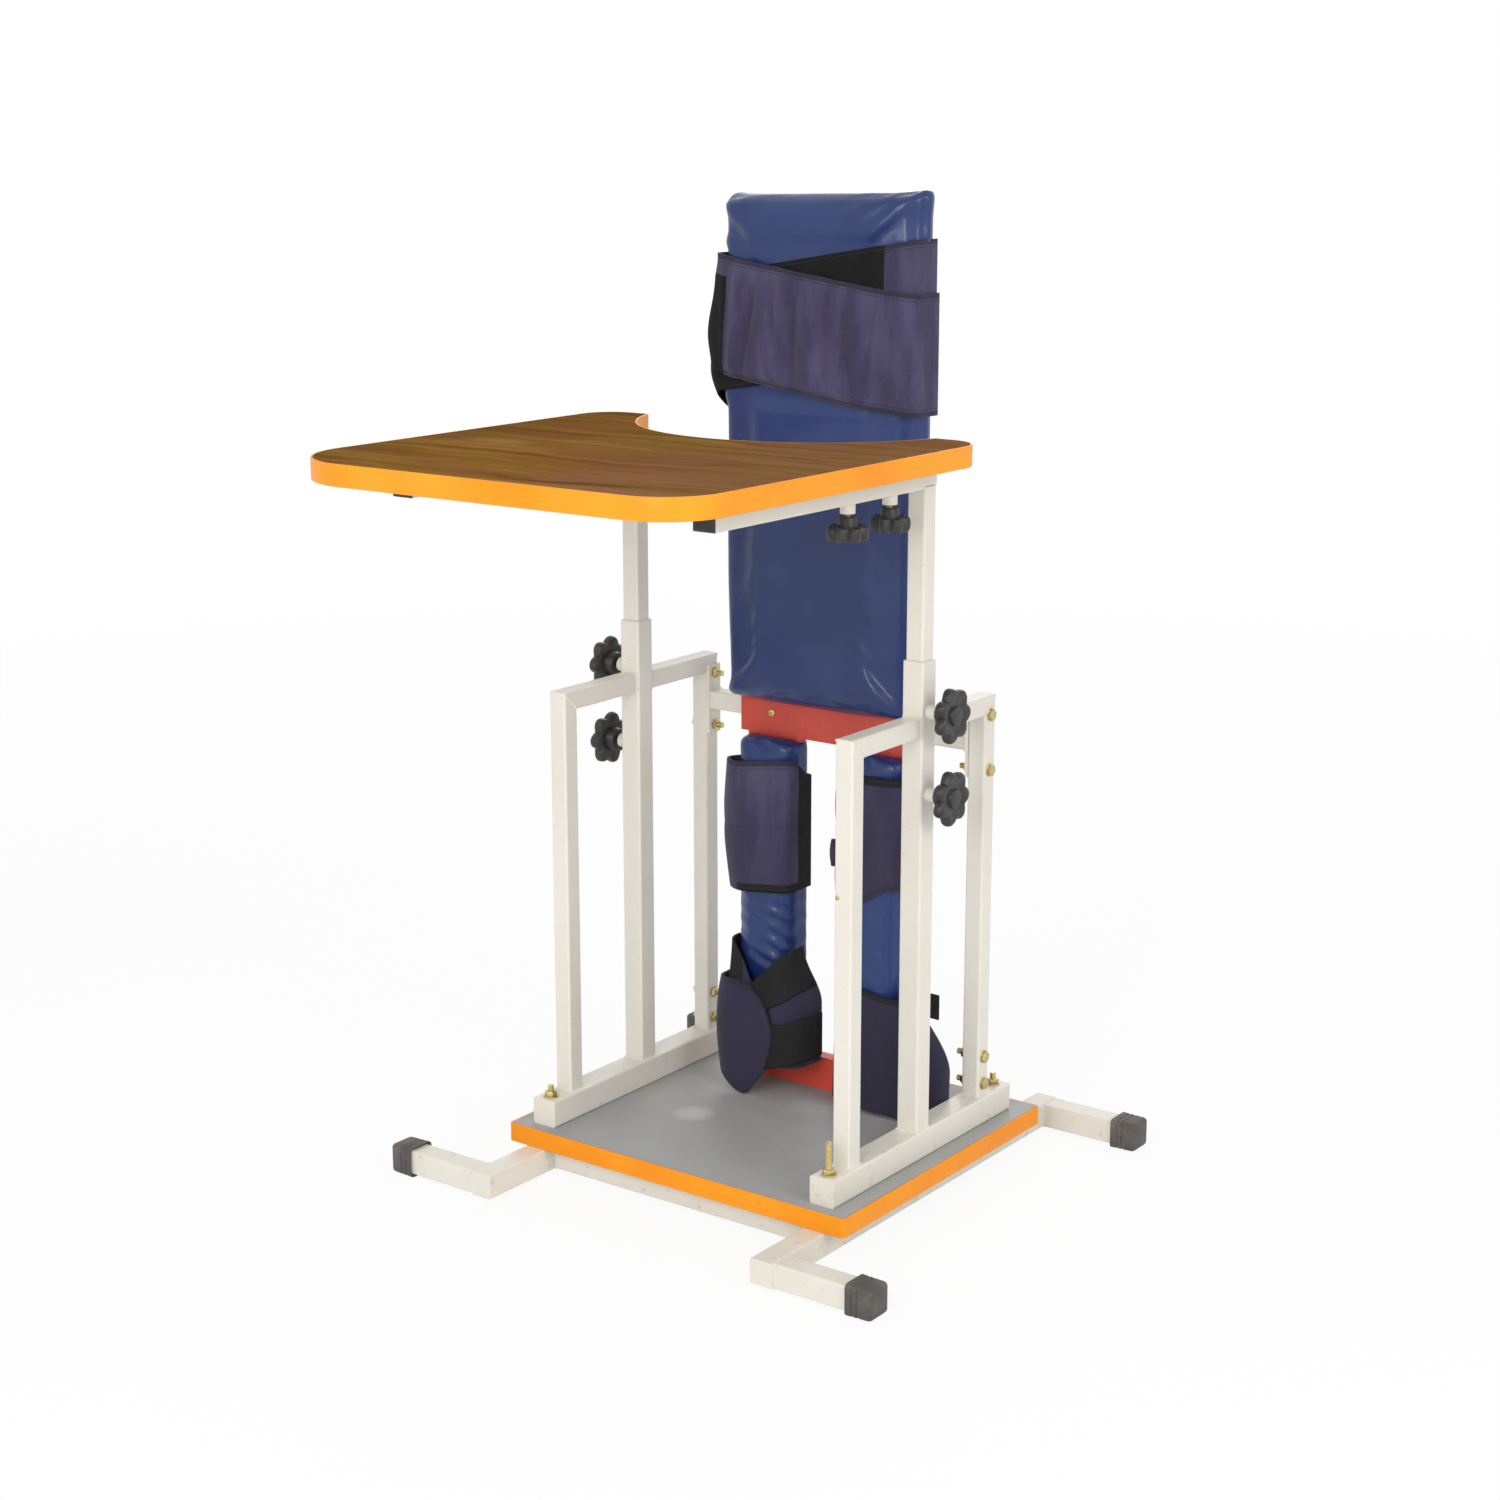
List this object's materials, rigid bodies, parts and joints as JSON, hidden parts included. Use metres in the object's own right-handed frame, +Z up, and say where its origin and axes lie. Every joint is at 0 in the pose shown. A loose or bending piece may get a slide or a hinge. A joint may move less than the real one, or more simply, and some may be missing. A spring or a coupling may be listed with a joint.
{
  "type": "standing frame",
  "caption": "Child's standing frame: footboard on a tubular base, padded back support with chest, knee and ankle straps, and a tray that slides in height and depth on clamp knobs.",
  "frame": {"origin": "On the floor, in the middle of the plan of the whole object: half way between the tray's front edge and the rear foot caps, on the left-right middle plane.", "axes": "+Z up; +Y from the tray toward the back support; +X to the right of someone who faces the front of the tray from the front."},
  "size_m": [0.752, 0.906, 1.25],
  "materials": {
    "frame_paint": "satin",
    "foot_rubber": "matte",
    "board_core": "matte",
    "base_laminate": "satin",
    "base_edging": "satin",
    "tray_laminate": "satin",
    "tray_edging": "satin",
    "zinc_gold": "satin",
    "red_plywood": "satin",
    "blue_vinyl": "gloss",
    "purple_cloth": "matte",
    "black_plastic": "satin",
    "black_webbing": "matte"
  },
  "bodies": {
    "frame": {"base_runner_left": "frame_paint", "base_runner_right": "frame_paint", "foot_stubs": "frame_paint", "base_cross_tubes": "frame_paint", "foot_caps": "foot_rubber", "base_board": "board_core", "base_laminate": "base_laminate", "base_edging": "base_edging", "bottom_rail_left": "frame_paint", "bottom_rail_right": "frame_paint", "tube_end_plates": "frame_paint", "front_upright_left": "frame_paint", "front_upright_right": "frame_paint", "rear_upright_left": "frame_paint", "rear_upright_right": "frame_paint", "top_rail_left": "frame_paint", "top_rail_right": "frame_paint", "post_sleeve_left": "frame_paint", "post_sleeve_right": "frame_paint", "sleeve_weld_nuts": "frame_paint", "base_bolts": "zinc_gold", "base_nuts": "zinc_gold", "upper_cross_tube": "frame_paint", "foot_brackets": "frame_paint", "cross_end_plates": "frame_paint", "cross_bolts": "zinc_gold", "cross_nuts": "zinc_gold", "back_board": "red_plywood", "back_board_screws": "zinc_gold", "trunk_pad": "blue_vinyl", "leg_pad_left": "blue_vinyl", "leg_pad_right": "blue_vinyl", "chest_band_inner": "purple_cloth", "chest_band_outer": "purple_cloth", "knee_cuff_left": "purple_cloth", "knee_cuff_right": "purple_cloth", "ankle_wrap_left": "purple_cloth", "ankle_wrap_right": "purple_cloth"},
    "height_carriage": {"inner_post_left": "frame_paint", "inner_post_right": "frame_paint", "tray_bar_left": "frame_paint", "tray_bar_right": "frame_paint"},
    "tray": {"tray_rail_left": "frame_paint", "tray_rail_right": "frame_paint", "rail_plugs": "black_plastic", "rail_weld_nuts": "frame_paint", "tray_tabs": "frame_paint", "tray_screws": "zinc_gold", "tray_board": "board_core", "tray_laminate": "tray_laminate", "tray_edging": "tray_edging"},
    "height_knob_left_upper": {"height_knob_left_upper": "black_plastic"},
    "height_knob_left_lower": {"height_knob_left_lower": "black_plastic"},
    "height_knob_right_upper": {"height_knob_right_upper": "black_plastic"},
    "height_knob_right_lower": {"height_knob_right_lower": "black_plastic"},
    "tray_knob_left_front": {"tray_knob_left_front": "black_plastic"},
    "tray_knob_left_back": {"tray_knob_left_back": "black_plastic"},
    "tray_knob_right_front": {"tray_knob_right_front": "black_plastic"},
    "tray_knob_right_back": {"tray_knob_right_back": "black_plastic"}
  },
  "joints": [
    {"name": "tray_height", "type": "slide", "parent": "frame", "child": "height_carriage", "axis": [0, 0, 1], "range_m": [-0.18, 0.15]},
    {"name": "tray_depth", "type": "slide", "parent": "height_carriage", "child": "tray", "axis": [0, -1, 0], "range_m": [0, 0.16]},
    {"name": "height_knob_left_upper_turn", "type": "hinge", "parent": "frame", "child": "height_knob_left_upper", "pos_m": [-0.268, 0.113, 0.638], "axis": [-1, 0, 0], "range_deg": [0, 360]},
    {"name": "height_knob_left_lower_turn", "type": "hinge", "parent": "frame", "child": "height_knob_left_lower", "pos_m": [-0.268, 0.113, 0.535], "axis": [-1, 0, 0], "range_deg": [0, 360]},
    {"name": "tray_knob_left_front_turn", "type": "hinge", "parent": "tray", "child": "tray_knob_left_front", "pos_m": [-0.22, -0.045, 0.876], "axis": [0, 0, -1], "range_deg": [0, 360]},
    {"name": "tray_knob_left_back_turn", "type": "hinge", "parent": "tray", "child": "tray_knob_left_back", "pos_m": [-0.22, 0.043, 0.876], "axis": [0, 0, -1], "range_deg": [0, 360]},
    {"name": "height_knob_right_upper_turn", "type": "hinge", "parent": "frame", "child": "height_knob_right_upper", "pos_m": [0.268, 0.113, 0.638], "axis": [1, 0, 0], "range_deg": [0, 360]},
    {"name": "height_knob_right_lower_turn", "type": "hinge", "parent": "frame", "child": "height_knob_right_lower", "pos_m": [0.268, 0.113, 0.535], "axis": [1, 0, 0], "range_deg": [0, 360]},
    {"name": "tray_knob_right_front_turn", "type": "hinge", "parent": "tray", "child": "tray_knob_right_front", "pos_m": [0.22, -0.045, 0.876], "axis": [0, 0, -1], "range_deg": [0, 360]},
    {"name": "tray_knob_right_back_turn", "type": "hinge", "parent": "tray", "child": "tray_knob_right_back", "pos_m": [0.22, 0.043, 0.876], "axis": [0, 0, -1], "range_deg": [0, 360]}
  ]
}
